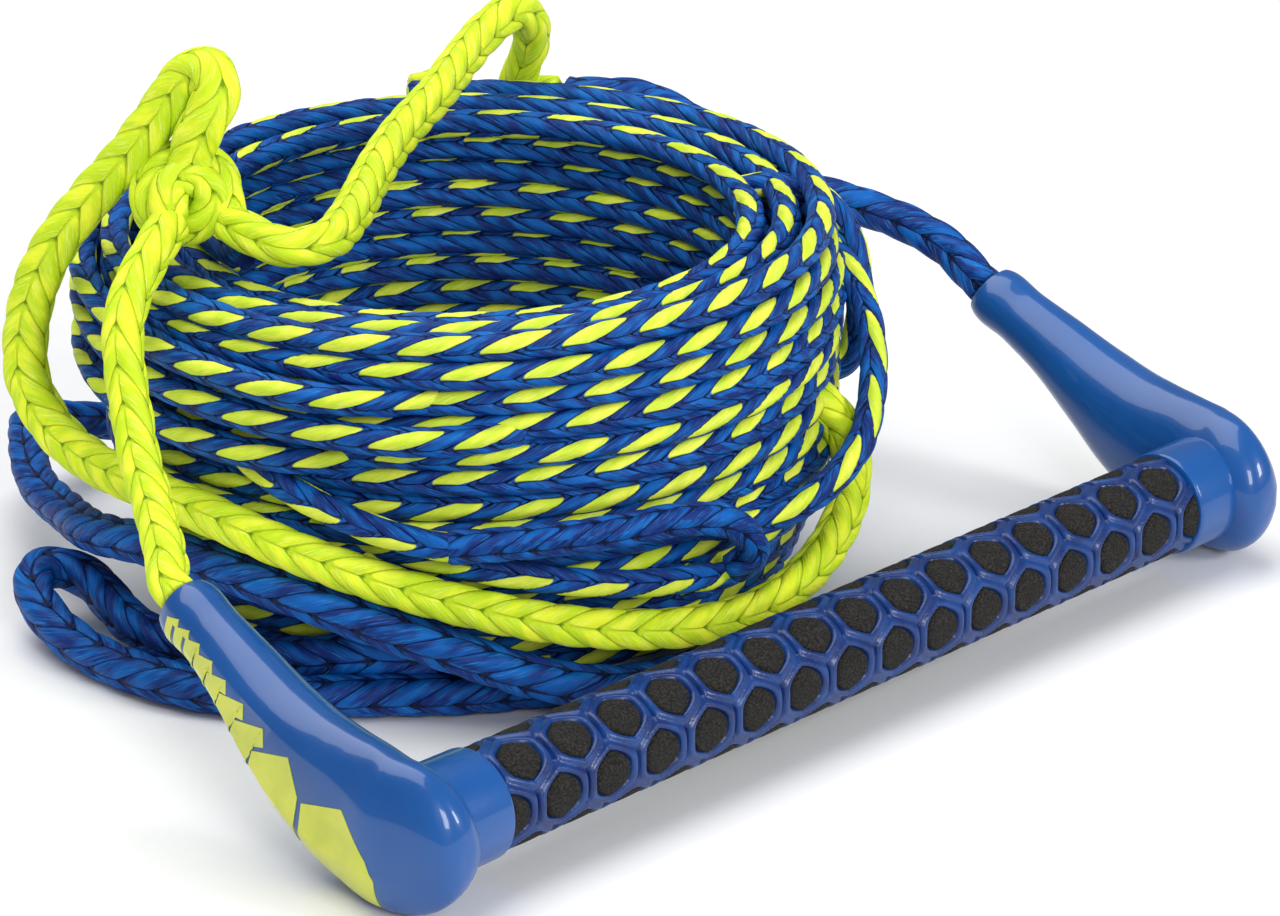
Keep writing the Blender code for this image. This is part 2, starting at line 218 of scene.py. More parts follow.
def strand_phase(turn, lays, side, fat):
    """Which strand of one direction lies here, as a running number; its fraction goes across."""
    phase = STRANDS * (side * turn / (2 * pi) + lays) + STRANDS * LEAN * np.sin(2 * turn) / (2 * pi)
    return phase - fat / pi * np.sin(pi * (phase - 0.5))


def braid_height(turn, lays, fat):
    """Height of the braid's surface, about 0 in the pits and 1 on a strand's crown."""
    levels = []
    for side in (1, -1):
        phase = strand_phase(turn, lays, side, fat if side == 1 else 0.0)
        across = 2 * (phase % 1) - 1
        levels.append(BELLY * np.sqrt(1 - FLANK * across ** 2) + side * CROWN * np.cos(2 * turn))
    return (np.maximum(*levels) - 0.2 * BELLY) / (0.8 * BELLY + CROWN)


def even_line(points, step, divisions=40):
    """A smooth line through given points, in millimetres, with a point every `step` metres."""
    knots = [Vector(p) * MM for p in points]
    knots = [2 * knots[0] - knots[1]] + knots + [2 * knots[-1] - knots[-2]]
    dense = []
    for p0, p1, p2, p3 in zip(knots, knots[1:], knots[2:], knots[3:]):
        t1 = (p1 - p0).length ** 0.5
        t2 = t1 + (p2 - p1).length ** 0.5
        t3 = t2 + (p3 - p2).length ** 0.5
        for i in range(divisions):
            t = t1 + (t2 - t1) * i / divisions
            a1 = p0.lerp(p1, t / t1)
            a2 = p1.lerp(p2, (t - t1) / (t2 - t1))
            a3 = p2.lerp(p3, (t - t2) / (t3 - t2))
            b1, b2 = a1.lerp(a2, t / t2), a2.lerp(a3, (t - t1) / (t3 - t1))
            dense.append(b1.lerp(b2, (t - t1) / (t2 - t1)))
    dense.append(knots[-2])
    return resampled(np.array(dense), step)


def resampled(line, step):
    """The same line with its points evenly spaced."""
    travelled = np.concatenate([[0], np.cumsum(np.linalg.norm(np.diff(line, axis=0), axis=1))])
    at = np.linspace(0, travelled[-1], max(3, round(travelled[-1] / step) + 1))
    return np.column_stack([np.interp(at, travelled, line[:, i]) for i in range(3)])


def line_length(line):
    """The length of a line of points, in metres."""
    return float(np.linalg.norm(np.diff(line, axis=0), axis=1).sum())


def carried_frames(line):
    """Two directions across a line at each point, carried along it without twist."""
    along = np.gradient(line, axis=0)
    along /= np.linalg.norm(along, axis=1)[:, None]
    first = np.cross(along[0], (0.3, 0.2, 1.0))
    normals = [first / np.linalg.norm(first)]
    for direction in along[1:]:
        normal = normals[-1] - direction * (normals[-1] @ direction)
        normals.append(normal / np.linalg.norm(normal))
    normals = np.array(normals)
    return normals, np.cross(along, normals)


RELIEF = 0.24              # depth of the braid, as a share of the rope's radius
NIPPED_END = 0.72          # a cut end is melted a little narrower than the rope


def braided_rope(name, line, radius, lay, sides, roll, fat=0.0, start_lay=0.0):
    """A braided tube along `line`; radius and roll are numbers, or arrays along the line."""
    rings = len(line)
    normals, sideways = carried_frames(line)
    radius = np.broadcast_to(radius, rings)
    roll = np.broadcast_to(roll, rings)
    step = line_length(line) / (rings - 1)
    lays = start_lay + np.arange(rings) * step / lay
    turn = np.linspace(0, 2 * pi, sides, endpoint=False)
    height = braid_height(turn[None, :] + roll[:, None], lays[:, None], fat)
    reach = radius[:, None] * (1 - 0.8 * RELIEF + RELIEF * height)
    reach[[0, -1]] *= NIPPED_END
    circle = np.cos(turn)[:, None] * normals[:, None] + np.sin(turn)[:, None] * sideways[:, None]
    points = (line[:, None] + reach[..., None] * circle).reshape(-1, 3)
    points = np.vstack([points, line[0], line[-1]])
    i, j = np.meshgrid(np.arange(rings - 1), np.arange(sides), indexing="ij")
    k = (j + 1) % sides
    quads = np.stack([i * sides + j, i * sides + k, (i + 1) * sides + k, (i + 1) * sides + j], axis=-1)
    first, last = rings * sides, rings * sides + 1
    around = [(j, (j + 1) % sides) for j in range(sides)]
    caps = [(first, b, a) for a, b in around]
    caps += [(last, (rings - 1) * sides + a, (rings - 1) * sides + b) for a, b in around]
    mesh = bpy.data.meshes.new(name)
    mesh.from_pydata(points.tolist(), [], quads.reshape(-1, 4).tolist() + caps)
    corners = [(lays[i + a], (j + b) / sides + roll[i + a] / (2 * pi))
               for a, b in ((0, 0), (0, 1), (1, 1), (1, 0))]
    braid_uv = np.stack([np.stack(corner, axis=-1) for corner in corners], axis=-2).reshape(-1, 2)
    cap_uv = np.tile([(lays[0], 0.0)], (3 * sides, 1)), np.tile([(lays[-1], 0.0)], (3 * sides, 1))
    layer = mesh.uv_layers.new(name="braid")
    layer.data.foreach_set("uv", np.concatenate([braid_uv, *cap_uv]).ravel())
    mesh.shade_smooth()
    rope = bpy.data.objects.new(name, mesh)
    bpy.context.scene.collection.objects.link(rope)
    return rope


def braid_dye_and_painted_light(strand_colours, tracer=None, fat=0.0):
    """The look of a braid: leaves with fine fibres, painted highlights on the fibres, painted shade in the
    seams and the dark pits, and a tracer on every other strand.
    """
    low, high, painted_glint, seam_shade, pit_shade = strand_colours
    apart = 7.3            # gives the strands of the second direction other fibres than the first

    def draw(bench):
        lays, share, _ = bench.split(bench.node("ShaderNodeUVMap", {"uv_map": "braid"}))
        turn = share * (2 * pi)
        lift = bench.maths("COSINE", turn * 2) * CROWN
        lean = bench.wave(turn * 2) * (STRANDS * LEAN / (2 * pi))
        levels, fractions, numbers = [], [], []
        for side in (1, -1):
            phase = (lays + share * side) * STRANDS + lean
            if side == 1 and fat:
                phase = phase - bench.wave((phase - 0.5) * pi) * (fat / pi)
            fraction = phase % 1.0
            across = fraction * 2 - 1
            crown = bench.maths("SQRT", 1 - across * across * FLANK)
            levels.append(crown * BELLY + lift * side)
            fractions.append(fraction)
            numbers.append(phase - fraction)
        over = bench.maths("GREATER_THAN", levels[0], levels[1])
        fraction = fractions[1] + (fractions[0] - fractions[1]) * over
        number = numbers[1] + apart + (numbers[0] - numbers[1] - apart) * over
        top = bench.maths("MAXIMUM", levels[0], levels[1])
        clear = bench.maths("ABSOLUTE", levels[0] - levels[1])
        across = fraction * 2 - 1
        crown = bench.maths("SQRT", 1 - across * across * FLANK)
        fibres = bench.noise(bench.vector(fraction * 11, lays * 5, number * 3.1), 1.6, 3.0)
        cast = bench.noise(bench.vector(fraction * 1.3, lays * 3.2, number * 1.7), 1.3, 2.0)
        colour = bench.blend(bench.step(cast, 0.38, 0.66), low, high)
        # painted highlight: a lighter glint colour along the fibres stands in for their shine
        colour = bench.blend(bench.step(fibres, 0.52, 0.78) * 0.75, colour, painted_glint)
        rough = fibres * 0.25 + 0.38
        if tracer:
            tracer_low, tracer_high, painted_tracer_glint = tracer
            yarn = bench.blend(bench.step(cast, 0.35, 0.7), tracer_low, tracer_high)
            # painted highlight on the tracer's fibres
            yarn = bench.blend(bench.step(fibres, 0.5, 0.8) * 0.6, yarn, painted_tracer_glint)
            side_of_leaf = fractions[0] * 2 - 1
            leaf = bench.step(lift * (0.8 / CROWN) + 0.3 - side_of_leaf * side_of_leaf, 0.0, 0.14)
            marked = bench.maths("LESS_THAN", numbers[0] % 2, 0.5) * over * leaf
            colour = bench.blend(marked, colour, yarn)
        # painted shade: a strand's edges and the crossings darken towards the seam colour
        shade = bench.step(crown, 0.14, 0.55) * bench.step(clear, 0.0, 0.3)
        colour = bench.blend(shade, seam_shade, colour)
        # painted shade: the pits, where the braid is lowest, darken towards the pit colour
        colour = bench.blend(bench.step(top, 0.45 * BELLY, 0.75 * BELLY), pit_shade, colour)
        relief = top * 0.4 + fibres * 0.3 + shade * 0.3
        return {"Base Color": colour, "Roughness": rough, "Normal": bench.bump(relief, 0.0011, 0.8)}

    return draw


# colours: two tones of the yarn, a painted highlight on its fibres, painted shade in the seam between strands
# and painted shade in the pits
BLUE_STRANDS = ((0.005, 0.024, 0.170), (0.002, 0.110, 0.440), (0.020, 0.27, 0.72), (0.001, 0.005, 0.045),
                (0.0005, 0.001, 0.008))
LIME_STRANDS = ((0.56, 0.78, 0.014), (0.83, 0.93, 0.035), (0.93, 0.95, 0.28), (0.55, 0.74, 0.016),
                (0.20, 0.36, 0.006))
# the tracer's two tones and a painted highlight on its fibres
LIME_TRACER = ((0.56, 0.74, 0.035), (0.80, 0.88, 0.075), (0.92, 0.93, 0.34))
TRACER_FAT = 0.24          # how much wider a tracer strand lies than the blue one beside it
YARN_SHEEN = 0.17

blue_rope = finish_material("blue_rope_braid", braid_dye_and_painted_light(BLUE_STRANDS), Specular_IOR_Level=YARN_SHEEN)
lime_rope = finish_material("lime_rope_braid", braid_dye_and_painted_light(LIME_STRANDS), Specular_IOR_Level=YARN_SHEEN)
tracer_rope = finish_material("tracer_rope_braid", braid_dye_and_painted_light(BLUE_STRANDS, LIME_TRACER, TRACER_FAT),
                              Specular_IOR_Level=YARN_SHEEN)


def lay_rope(rope, material, nodes):
    rope.data.materials.append(material)
    if nodes:
        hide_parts(*nodes)


# The main line: 8 mm braid with a lime tracer, 75 feet of it, wound by hand into a standing coil
# of three columns, one inside the other. Each column is made in a lower and an upper half.
LINE_D = 8.0 * MM
LINE_LAY = 42 * MM
COIL_X, COIL_Y = 2.0, 108.0
ROW_PITCH = 7.52 * MM
COIL_ROWS = 14
POINTS_A_TURN = 240
# rope centre of the outer column, millimetres: height and radius
OUTER_SHAPE = [(4.2, 83.5), (12, 86.0), (20, 89.5), (30, 93.6), (48, 99.2), (98, 99.4), (108.9, 96.5)]


def coil_column(inset, drift, seed):
    """One column of turns, from the bottom up; hand winding leaves small waves in it."""
    draw = np.random.default_rng(seed)
    turns = np.linspace(0, COIL_ROWS, COIL_ROWS * POINTS_A_TURN + 1)
    angle = 2 * pi * turns + seed
    heights, radii = np.array(OUTER_SHAPE).T * MM
    height = heights[0] + ROW_PITCH * turns
    radius = np.interp(height, heights, radii) - inset
    wobble = np.zeros_like(turns)
    rise = np.zeros_like(turns)
    for waves in (1, 2, 3):
        at = np.arange(COIL_ROWS + 2)
        size = np.interp(turns, at, draw.uniform(0.2, 1.0, len(at)) * drift / waves)
        start = np.interp(turns, at, draw.uniform(0, 2 * pi, len(at)))
        wobble += size * np.sin(waves * angle + start)
        rise += 0.5 * size * np.sin(waves * angle - start)
    radius += wobble
    return np.column_stack([COIL_X * MM + radius * np.cos(angle), COIL_Y * MM + radius * np.sin(angle),
                            np.maximum(height + rise, 0.52 * LINE_D)])


# each column's inset from the outer one, drift of its turns, seed, sides of its mesh and step along it
coil_columns = {"mainline_outer": (0.0, 0.9 * MM, 1, 20, 1.35 * MM),
                "mainline_middle": (10.2 * MM, 0.6 * MM, 2, 12, 2.0 * MM),
                "mainline_inner": (20.6 * MM, 0.9 * MM, 3, 20, 1.5 * MM)}
for name, (inset, drift, seed, sides, step) in coil_columns.items():
    column = coil_column(inset, drift, seed)
    start_lay = 0.0
    for part, picked in zip(("lower", "upper"), np.array_split(np.arange(len(column)), 2)):
        line = resampled(column[picked[0]:picked[-1] + 2], step)
        waves = np.arange(len(line)) * step / LINE_D
        roll = 0.75 + 0.4 * np.sin(waves * 0.11 + seed) + 0.25 * np.sin(waves * 0.043 + 2 * seed)
        rope = braided_rope(name + "_" + part, line, LINE_D / 2, LINE_LAY, sides, roll, TRACER_FAT, start_lay)
        start_lay += line_length(line) / LINE_LAY
        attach(rope, "rope")
        lay_rope(rope, tracer_rope, ["mainline_coil"])


# The bridle: 10 mm lime rope from the left cover to the knot and from the knot to the splice, and
# 11.5 mm blue rope from the splice to the right cover. Both legs bend where they meet the covers.
LIME_D, BLUE_D = 10.0 * MM, 11.5 * MM
LIME_LAY, BLUE_LAY, SPLICED_LAY = 42 * MM, 46 * MM, 40 * MM
LIME_R = LIME_D / 2 * 1.12     # the soft braid swells where nothing pulls on it
ROPE_SIDES, ROPE_STEP = 32, 1.0 * MM
LEFT_LEG = [(-156.0, 51.56, 57.4), (-155.8, 56.6, 59.7), (-150.5, 63.5, 62), (-139.5, 80.5, 68),
            (-132, 95, 77), (-128, 102, 85), (-124, 109, 95), (-120, 114, 104),
            (-112, 119, 112), (-101, 123, 119), (-90.6, 127.6, 123.4)]
CROSS_LEG = [(-75.9, 121.6, 121.4), (-75.5, 111, 119.6), (-73, 100, 118.6), (-62, 98, 118),
             (-45, 107, 118), (-16, 127, 120), (6, 140, 122), (27, 149, 125), (48, 159, 129),
             (63, 164, 133), (75, 166, 135), (83, 167.5, 130), (87, 171, 121), (88, 176, 112),
             (89, 179, 105), (92.4, 175.6, 103.2), (96.4, 168.4, 103.6)]
RIGHT_LEG = [(97.3, 166.8, 103.7), (102.6, 157, 104.3), (114, 152, 102), (121, 142, 97),
             (124, 129, 91), (127, 115, 86), (132, 104, 81.5), (141, 95, 77.5), (148, 88, 74),
             (153.5, 80, 70.5), (157, 68, 65.5), (156.3, 58.6, 60.9), (156.0, 51.56, 57.4)]
SPLICE_TAIL = [(80.0, 191.0, 107.5), (73, 195.0, 107.0), (65, 199.5, 105.5)]

left_line = even_line(LEFT_LEG, ROPE_STEP)
left_leg = braided_rope("left_bridle_rope", left_line, LIME_R, LIME_LAY, ROPE_SIDES, roll=1.9)
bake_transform(left_leg)
lay_rope(left_leg, lime_rope, ["left_bridle_leg"])

right_line = even_line(RIGHT_LEG, ROPE_STEP)
right_leg = braided_rope("right_bridle_rope", right_line, BLUE_D / 2, BLUE_LAY, ROPE_SIDES, roll=0.4)
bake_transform(right_leg)
lay_rope(right_leg, blue_rope, ["right_bridle_leg"])

cross_line = even_line(CROSS_LEG, ROPE_STEP)
cross_leg = braided_rope("bridle_cross_rope", cross_line, LIME_R, LIME_LAY, ROPE_SIDES, roll=0.8)
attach(cross_leg, "rope")
lay_rope(cross_leg, lime_rope, ["bridle_cross_leg"])

stub_line = even_line(SPLICE_TAIL, ROPE_STEP)
tail_stub = braided_rope("splice_tail_rope", stub_line, LIME_D * 0.45, SPLICED_LAY, 24, roll=0.5)
tail_stub.data.materials.append(lime_rope)
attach(tail_stub, "rope")
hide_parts("splice_tail")


# The knot: an overhand knot pulled tight in the lime rope, one wrap lying inside the other. It
# ties the bridle to the line.
KNOT_CENTRE = np.array([-79.0, 134.0, 126.4])
# the rope's way through the knot, millimetres from its middle: right, up and towards the front
KNOT_WAY = [(11.0, -7.1, 4.1), (9.8, -1.5, 3.2), (8.6, 4.5, 2.4), (3.5, 8.8, 1.4), (-3.8, 8.8, 1.0),
            (-9.0, 3.6, 1.6), (-9.2, -4.0, 2.6), (-3.6, -8.4, 2.6), (3.8, -6.6, 4.6), (6.2, -0.4, 6.4),
            (2.4, 4.4, 8.2), (-3.2, 2.4, 9.4), (-4.4, -3.0, 10.6), (-3.6, -7.7, 10.6)]
# the directions in which the knot's right, up and front point
KNOT_FACING = np.array([[0.701, -0.713, 0.0], [0.274, 0.269, 0.923], [-0.659, -0.647, 0.384]])
knot_line = even_line(KNOT_CENTRE + np.array(KNOT_WAY) @ KNOT_FACING, ROPE_STEP)
knot = braided_rope("bridle_knot_wraps", knot_line, LIME_R, SPLICED_LAY, ROPE_SIDES, roll=1.0)
knot.data.materials.append(lime_rope)
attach(knot, "rope")
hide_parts("bridle_knot")


# The lime tail: the doubled lime rope beyond the knot, fat where it is spliced into itself. It
# stands over the knot, drops behind the coil's left side and runs round the front of its foot.
LIME_TAIL = [(-80.5, 131.5, 133), (-80.0, 130.0, 141), (-78.5, 126, 150), (-75.5, 124.5, 157),
             (-74, 129.5, 161.5), (-76, 136.5, 158.5), (-80.5, 141.5, 149), (-86.5, 149, 136),
             (-93, 157.5, 123.5), (-99.5, 164.5, 111), (-102.5, 170.5, 98), (-104, 174.5, 82),
             (-105, 173, 69), (-104.5, 164, 58), (-107, 145, 54), (-109, 121, 54), (-108, 96, 53),
             (-101, 68, 48), (-87, 43, 41), (-64, 21.5, 32), (-39, 8, 25), (-13, 0.5, 21),
             (8, -2.0, 21.5), (24, 0.5, 24), (40, 5, 29), (50, 9, 36), (53.5, 11.5, 46),
             (53, 15, 55), (50, 21, 62), (46, 28, 66)]
SLACK_STEP = 1.1 * MM
tail_line = even_line(LIME_TAIL, SLACK_STEP)
tail_swell = np.interp(np.linspace(0, 1, len(tail_line)), [0, 0.12, 0.4, 1], [1.28, 1.3, 1.22, 1.08])
lime_tail = braided_rope("lime_tail_rope", tail_line, LIME_D / 2 * tail_swell, LIME_LAY, ROPE_SIDES, roll=0.9)
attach(lime_tail, "rope")
lay_rope(lime_tail, lime_rope, ["lime_tail"])


# Slack turns of the main line that stand off the coil: three over its left side, the others at its
# right and beside the take-off loop. Each sinks back among its neighbours and is thinned there.
SUNK_R, STAND_OFF = 92.5, 15.4
SLACK_ROLL, SLACK_SIDES = 0.9, 28
THINNED = 9.0 * MM
# each left turn's heights and angles at its start and its end, in millimetres and degrees
LEFT_TURNS = [((100, 92), (72, 226)), ((89.5, 82), (92, 240)), ((77, 72), (80, 214))]
slack_lines = {}
for number, (heights, angles) in enumerate(LEFT_TURNS):
    share = np.linspace(0, 1, 19)
    angle = np.radians(np.interp(share, (0, 1), angles))
    radius = SUNK_R + STAND_OFF * np.minimum(1, np.minimum(share, 1 - share) / 0.14) ** 0.7
    height = np.interp(share, (0, 1), heights) + 1.3 * np.sin(5 * share + number)
    slack_lines["left_slack_turn_%d" % (number + 1)] = np.column_stack(
        [COIL_X + radius * np.cos(angle), COIL_Y + radius * np.sin(angle), height])
slack_lines |= {
    "take_off_upper_line": [(-73.5, 26.5, 54.2), (-81, 33, 54.4), (-90, 47, 57), (-97, 66, 62),
                            (-98.5, 83, 66), (-95, 98, 68.5), (-90, 110, 70)],
    "take_off_lower_line": [(-3, 1.5, 34.5), (-7, 5, 32), (-18, 6.5, 33.5), (-31, 8, 36), (-46, 13.5, 39),
                            (-60, 21.5, 42.5), (-73, 34.5, 46), (-81, 52, 48), (-84, 70, 49)],
    "take_off_right_line": [(68, 53, 97), (77, 39, 92), (75, 27, 82), (67, 16, 71), (58, 8.5, 62),
                            (48, 3, 55), (38, 1, 50), (28, 0.5, 46.5), (18, 1.2, 44.5), (9, 3.5, 43.5),
                            (0, 7, 43.5), (-9, 12, 44.5), (-18, 18, 46)],
    "right_bulge_line": [(68, 52, 54), (79, 38, 60), (82.5, 36, 70), (86, 39, 82), (88, 45, 94),
                         (86, 54, 103), (79, 64, 106), (70, 73, 106.5)],
}
for name, points in slack_lines.items():
    line = even_line(points, SLACK_STEP)
    to_end = np.minimum(np.arange(len(line)), np.arange(len(line))[::-1]) * SLACK_STEP
    thin = np.minimum(1.0, 0.5 + 0.5 * to_end / THINNED)
    rope = braided_rope(name, line, LINE_D / 2 * thin, LINE_LAY, SLACK_SIDES, SLACK_ROLL, TRACER_FAT)
    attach(rope, "rope")
    lay_rope(rope, tracer_rope, [])


# The boat end: thick blue rope round the coil's foot, and the folded loop that goes over the
# boat's pylon. The take-off loop is thinner and lies on the front of the coil.
BOAT_END = [(100, 168, 6.2), (78, 197, 6.2), (45, 221, 6.4), (5, 232, 9), (-30, 237, 17),
            (-54, 234, 25), (-69, 219, 27), (-83, 199, 25), (-95, 170, 27), (-107, 144, 33),
            (-110, 118, 38), (-107.5, 84, 39), (-97, 54, 33.5), (-79.5, 33, 24),
            (-60, 19.5, 14), (-41, 11, 8), (-20, 5.5, 6.4), (4, 3, 6.2)]
BOAT_LOOP = [(-73.5, 43.4, 18.2), (-83, 57.2, 17), (-90.5, 73, 13), (-98, 89, 10),
             (-104, 103, 9), (-107, 117, 9), (-107.5, 130, 10.5), (-105, 142, 13),
             (-103.5, 152, 15.5), (-106, 160, 17), (-111.5, 163, 17.5), (-117.5, 159.5, 15.5),
             (-121.5, 150, 12), (-123, 138, 8.5), (-122.5, 124, 6.2), (-121, 106, 6.2),
             (-114.5, 86, 6.2), (-101, 68, 6.2), (-85, 54, 6.2), (-71, 41.0, 6.2),
             (-56.5, 31.0, 6.2), (-44, 23.8, 6.2)]
TAKE_OFF = [(-81, 33, 54), (-69, 23, 54.5), (-56, 13.5, 55), (-42, 5.5, 55.5), (-26, -0.5, 55.5),
            (-11, -3.0, 51), (-3, -3.0, 44), (0, -1.5, 37.5), (-4, 3, 32.5)]
LOOP_D = 9.0 * MM
end_ropes = {"boat_end_blue_rope": (BOAT_END, BLUE_D, 0.6, "boat_end_rope"),
             "boat_loop_rope": (BOAT_LOOP, BLUE_D, 1.2, "boat_end_loop"),
             "take_off_loop_rope": (TAKE_OFF, LOOP_D, 0.2, "take_off_loop")}
for name, (points, diameter, roll, node) in end_ropes.items():
    line = even_line(points, SLACK_STEP)
    rope = braided_rope(name, line, diameter / 2, 4 * diameter, ROPE_SIDES, roll)
    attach(rope, "rope")
    lay_rope(rope, blue_rope, [node])


# The grip: a foam sleeve glued on the bar, with a pad standing up in each cell, and a rubber
# honeycomb moulded over it, six rows of fifteen cells, each cell with its own raised rim.
BAR_Y, BAR_Z = -33.34 * MM, 21.0 * MM
GRIP_HALF = 134.0 * MM
CELL_ROWS, CELLS_A_ROW = 6, 15
CELL_PITCH = 2 * GRIP_HALF / CELLS_A_ROW
CELL_ROUNDING = 0.25       # how far the corners of a cell are rounded off


def grip_tube(name, radius, steps_along, steps_round):
    """A plain closed tube on the bar's line, finely divided, for the cells to be pressed into."""
    along = np.linspace(-GRIP_HALF, GRIP_HALF, steps_along)
    turn = np.linspace(0, 2 * pi, steps_round, endpoint=False)
    rings = np.zeros((steps_along, steps_round, 3))
    rings[..., 0] = along[:, None]
    rings[..., 1] = BAR_Y + radius * np.cos(turn)
    rings[..., 2] = BAR_Z + radius * np.sin(turn)
    i, j = np.meshgrid(np.arange(steps_along - 1), np.arange(steps_round), indexing="ij")
    k = (j + 1) % steps_round
    quads = np.stack([i * steps_round + j, i * steps_round + k, (i + 1) * steps_round + k,
                      (i + 1) * steps_round + j], axis=-1).reshape(-1, 4)
    caps = [tuple(range(steps_round))[::-1],
            tuple(range((steps_along - 1) * steps_round, steps_along * steps_round))]
    mesh = bpy.data.meshes.new(name)
    mesh.from_pydata(rings.reshape(-1, 3).tolist(), [], quads.tolist() + caps)
    tube = bpy.data.objects.new(name, mesh)
    bpy.context.scene.collection.objects.link(tube)
    return tube


def cell_press(name, material, profile):
    """A node tree that moves a tube's surface to the radius that `profile` gives in each cell."""
    tree = bpy.data.node_groups.new(name, "GeometryNodeTree")
    tree.interface.new_socket("Geometry", in_out="INPUT", socket_type="NodeSocketGeometry")
    tree.interface.new_socket("Geometry", in_out="OUTPUT", socket_type="NodeSocketGeometry")
    for label in ("Cell pitch", "Row pitch", "Crest radius"):
        tree.interface.new_socket(label, in_out="INPUT", socket_type="NodeSocketFloat")
    bench = Bench(tree)
    entry = tree.nodes.new("NodeGroupInput")
    shape, cell_pitch, row_pitch, crest = [Wire(bench, entry.outputs[i]) for i in range(4)]
    x, y, z = bench.split(bench.node("GeometryNodeInputPosition"))
    turn = bench.maths("ARCTAN2", z - BAR_Z, y - BAR_Y)
    row = turn * (CELL_ROWS / (2 * pi))
    column = (x + GRIP_HALF) / cell_pitch
    cells = []
    for shift in (0.0, 0.5):
        across = ((column + shift) % 1.0 - 0.5) * cell_pitch
        around = ((row + 1 - 2 * shift) % 2.0 - 1) * row_pitch
        across, around = bench.maths("ABSOLUTE", across), bench.maths("ABSOLUTE", around)
        half = cell_pitch * 0.5
        beside = across / half
        corner = (across * half + around * row_pitch) * 2 / (half * half + row_pitch * row_pitch)
        hexagon = bench.maths("SMOOTH_MAX", beside, corner, CELL_ROUNDING)
        radial = bench.maths("SQRT", across * across + around * around) / half
        cells.append((hexagon, radial, beside, around))
    nearer = bench.maths("LESS_THAN", cells[0][0], cells[1][0])
    hexagon, radial, beside, around = [b + (a - b) * nearer for a, b in zip(*cells)]
    radius = crest + profile(bench, hexagon, radial, beside, around)
    place = bench.vector(x, bench.maths("COSINE", turn) * radius + BAR_Y, bench.wave(turn) * radius + BAR_Z)
    moved = bench.node("GeometryNodeSetPosition", None, {"Geometry": shape, "Position": place})
    realised = bench.node("GeometryNodeRealizeInstances", None, {"Geometry": moved})
    dressed = bench.node("GeometryNodeSetMaterial", None, {"Geometry": realised, "Material": material})
    leave = tree.nodes.new("NodeGroupOutput")
    tree.links.new(dressed.socket, leave.inputs[0])
    return tree


def make_plain(piece):
    """Put a piece's modifiers into its mesh."""
    graph = bpy.context.evaluated_depsgraph_get()
    mesh = bpy.data.meshes.new_from_object(piece.evaluated_get(graph))
    piece.modifiers.clear()
    piece.data = mesh


def pressed(tube, tree, crest):
    """The tube with its cells pressed in, as a plain mesh."""
    press = tube.modifiers.new("cells", "NODES")
    press.node_group = tree
    sizes = {"Cell pitch": CELL_PITCH, "Row pitch": 2 * pi * crest / CELL_ROWS, "Crest radius": crest}
    for item in tree.interface.items_tree:
        if item.name in sizes:
            press[item.identifier] = sizes[item.name]
    make_plain(tube)
    tube.data.name = tube.name
    tube.data.shade_smooth()
    return tube


CELL_DEEP, RIM_HIGH, SLIT_DEEP, VALLEY_DEEP = 2.1 * MM, 0.55 * MM, 1.9 * MM, 0.12 * MM
PAD_HIGH, PAD_DOME = 1.75 * MM, 0.5 * MM


def web_profile(bench, hexagon, radial, beside, around):
    """Down through the foam in a cell, a round rim, and a slit between cells of one row."""
    cell = hexagon * 0.6 + radial * 0.4
    wall = bench.step(cell, 0.66, 0.74)
    rim = bench.step(cell, 0.69, 0.80) * (1 - bench.step(hexagon, 0.86, 0.99) * 0.8)
    slit = bench.step(beside, 0.91, 0.99) * (1 - bench.step(around, 4.6 * MM, 6.6 * MM))
    valley = bench.step(hexagon, 0.86, 1.0) * (1 - slit)
    return (wall - 1) * CELL_DEEP + (rim - 1) * RIM_HIGH - slit * SLIT_DEEP - valley * VALLEY_DEEP


def pad_profile(bench, hexagon, radial, beside, around):
    """A soft pad that fills its cell."""
    cell = hexagon * 0.6 + radial * 0.4
    return (1 - bench.step(cell, 0.60, 0.76)) * PAD_HIGH - cell * cell * PAD_DOME


def web_rubber(bench):
    place = bench.place()
    cloud = bench.noise(place, 160.0, 4.0)
    smear_noise = bench.noise(place, 900.0, 3.0)
    # pale silvery smears in patches, lighter than the rubber
    pale_smears = bench.step(smear_noise, 0.62, 0.80) * bench.step(cloud, 0.5, 0.75) * 0.6
    colour = bench.blend(bench.step(cloud, 0.35, 0.7), (0.002, 0.021, 0.122), (0.003, 0.043, 0.200))
    colour = bench.blend(pale_smears, colour, (0.05, 0.12, 0.34))
    return {"Base Color": colour, "Roughness": cloud * 0.22 + 0.20,
            "Normal": bench.bump(cloud * 0.6 + smear_noise * 0.4, 0.0005, 0.5)}


def pad_foam(bench):
    place = bench.place()
    grains = bench.noise(place, 1500.0, 2.0)
    cloud = bench.noise(place, 210.0, 3.0)
    colour = bench.blend(bench.step(grains, 0.36, 0.68), (0.006, 0.0055, 0.005), (0.030, 0.028, 0.026))
    colour = bench.blend(bench.step(cloud, 0.45, 0.7) * 0.5, colour, (0.012, 0.012, 0.012))
    return {"Base Color": colour, "Roughness": grains * 0.2 + 0.72,
            "Normal": bench.bump(grains, 0.0006, 0.7)}


web_look = finish_material("web_rubber_moulded", web_rubber, Specular_IOR_Level=0.45)
foam_look = finish_material("pad_foam_speckled", pad_foam, Specular_IOR_Level=0.2)
WEB_R, PAD_R = 14.15 * MM, 12.35 * MM
web = pressed(grip_tube("honeycomb_web", 14.0 * MM, 640, 132),
              cell_press("web_cells", web_look, web_profile), WEB_R)
pads = pressed(grip_tube("foam_pads", 12.4 * MM, 400, 128),
               cell_press("pad_cells", foam_look, pad_profile), PAD_R)
for piece, node, slot in ((web, "grip_web", "web_rubber"), (pads, "foam_sleeve", "grip_foam")):
    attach(piece, "handle")
    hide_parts(node)


